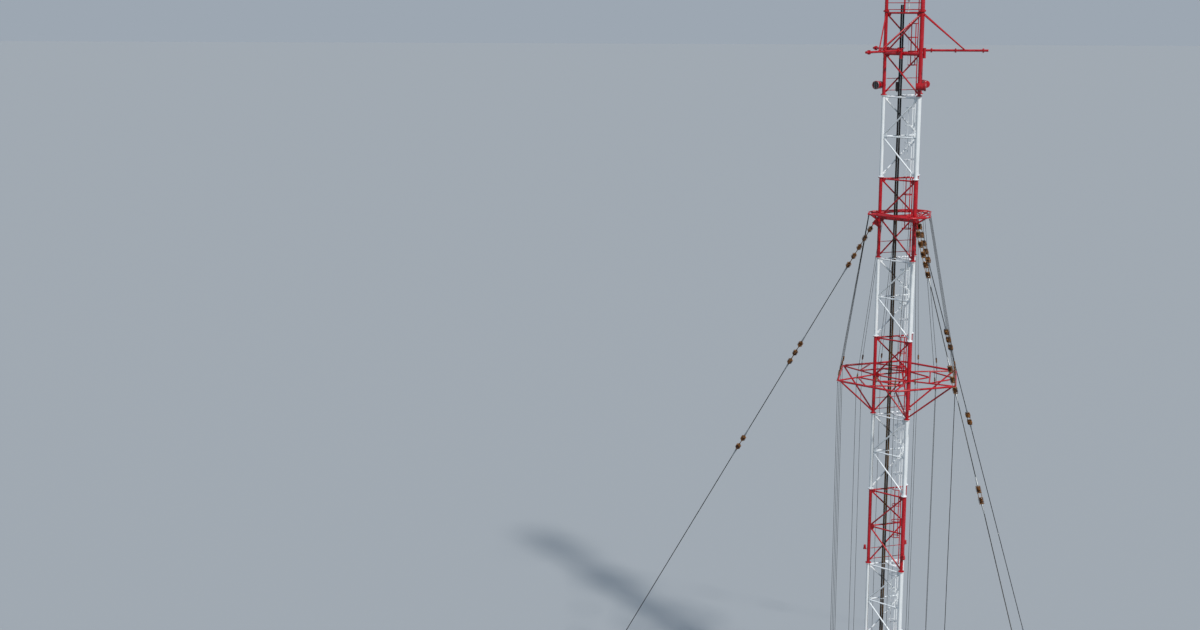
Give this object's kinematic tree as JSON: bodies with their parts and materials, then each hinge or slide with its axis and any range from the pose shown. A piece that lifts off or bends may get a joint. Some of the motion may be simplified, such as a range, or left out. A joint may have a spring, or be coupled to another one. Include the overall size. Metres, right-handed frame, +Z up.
{
  "type": "guyed lattice radio mast, 1:2 scale model",
  "caption": "Guyed triangular lattice radio mast in red and white bands, with booms, guy ring, wire cage on outriggers, caged ladder, lamps, ceramic-insulated guys, foot and anchors.",
  "frame": {"origin": "on the mast axis at the underside of the plinth", "axes": "+Z up the mast axis; -X over the left leg as seen in the picture; +Y away from the picture's side"},
  "size_m": [20.4952, 23.1631, 30.217],
  "materials": {
    "red_paint": "satin paint, weathered",
    "white_paint": "satin paint, weathered",
    "lamp_red": "gloss paint",
    "feeder_sheath": "matt",
    "galvanised_steel": "dull zinc",
    "wire_steel": "weathered stranded wire",
    "dark_steel": "weathered",
    "brown_ceramic": "glazed",
    "wire_insulator": "glazed",
    "concrete": "cast concrete"
  },
  "bodies": {
    "root": {"beacon": "white_paint", "boom_struts": "red_paint", "booms": "red_paint", "cage_wire_insulators": "wire_insulator", "cage_wires": "wire_steel", "feeder_lines": "feeder_sheath", "feeder_supports": "galvanised_steel", "foot_bearing": "dark_steel", "foot_frame": "red_paint", "guy_anchors": "concrete", "guy_insulators": "brown_ceramic", "guy_links": "dark_steel", "guy_lugs": "red_paint", "guy_ring": "red_paint", "guy_ropes": "wire_steel", "guy_tensioners": "dark_steel", "ladder": "red_paint", "ladder_cage": "white_paint", "lower_outrigger": "red_paint", "plinth": "concrete", "rest_platforms": "white_paint", "rest_rails": "red_paint", "section_1_bracing": "red_paint", "section_1_legs": "red_paint", "section_2_bracing": "white_paint", "section_2_legs": "white_paint", "section_3_bracing": "red_paint", "section_3_legs": "red_paint", "section_4_bracing": "white_paint", "section_4_legs": "white_paint", "section_5_bracing": "red_paint", "section_5_legs": "red_paint", "section_6_bracing": "white_paint", "section_6_legs": "white_paint", "section_7_bracing": "red_paint", "section_7_legs": "red_paint", "section_8_bracing": "white_paint", "section_8_legs": "white_paint", "section_9_bracing": "red_paint", "section_9_legs": "red_paint", "top_platform": "red_paint", "top_posts": "red_paint", "top_rails": "red_paint", "upper_outrigger": "red_paint", "warning_lamps": "lamp_red"}
  },
  "joints": []
}
